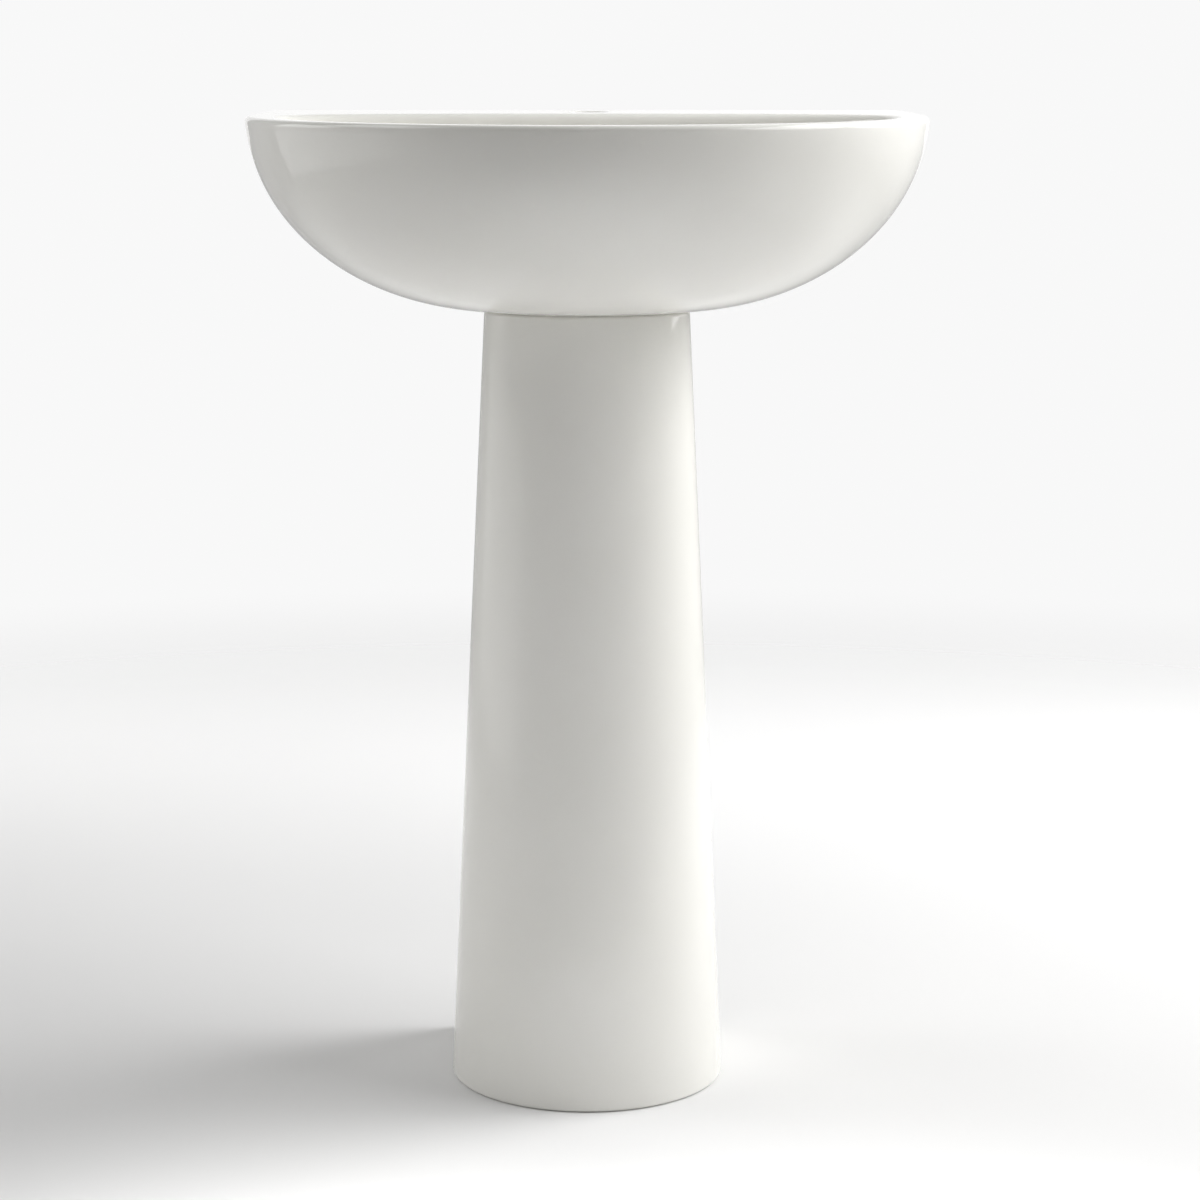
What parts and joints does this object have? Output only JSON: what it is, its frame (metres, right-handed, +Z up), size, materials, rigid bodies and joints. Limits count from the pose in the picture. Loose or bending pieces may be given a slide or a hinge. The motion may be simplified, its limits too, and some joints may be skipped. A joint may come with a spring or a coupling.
{
  "type": "pedestal sink",
  "caption": "Semi-oval china washbasin on a full tapered pedestal, with a tap hole, an overflow, a sprung pop-up waste and a bottle trap inside the pedestal.",
  "frame": {"origin": "on the floor, under the middle of the basin's plan: midway between the wall plane and the front of the rim, on the plane of symmetry", "axes": "+Z up; +Y towards the wall the sink stands against, so the front faces -Y; +X to the right for a person facing the wall"},
  "size_m": [0.59, 0.46, 0.85],
  "materials": {
    "glazed_china": "glossy white vitreous glaze",
    "white_sealant": "smooth white sanitary sealant",
    "chrome": "bright chrome plate",
    "brass": "turned, unplated",
    "spring_steel": "drawn stainless wire",
    "black_rubber": "matt moulded rubber",
    "white_plastic": "satin moulded polypropylene"
  },
  "bodies": {
    "sink": {"basin": "glazed_china", "pedestal": "glazed_china", "bedding_seal": "white_sealant", "overflow_ring": "chrome", "waste_body": "chrome", "waste_top_seal": "black_rubber", "waste_bottom_seal": "black_rubber", "waste_slip_washer": "white_plastic", "waste_back_nut": "brass", "plug_housing": "white_plastic", "plug_spring": "spring_steel", "trap_inlet_nut": "white_plastic", "trap_inlet_seal": "black_rubber", "trap_inlet_tube": "white_plastic", "trap_neck_nut": "white_plastic", "trap_neck_seal": "black_rubber", "trap_body": "white_plastic", "trap_cup": "white_plastic", "trap_cup_seal": "black_rubber", "trap_outlet_nut": "white_plastic", "trap_outlet_seal": "black_rubber", "outlet_pipe": "white_plastic"},
    "plug": {"plug_cap": "chrome", "plug_seal": "black_rubber", "plug_stem": "brass", "plug_lock_nut": "brass"}
  },
  "joints": [
    {"name": "plug_slide", "type": "slide", "parent": "sink", "child": "plug", "axis": [0, 0, 1], "range_m": [-0.007, 0], "stiffness_N_per_m": 600, "springref_m": 0.006, "deforming": ["plug_spring"]}
  ]
}
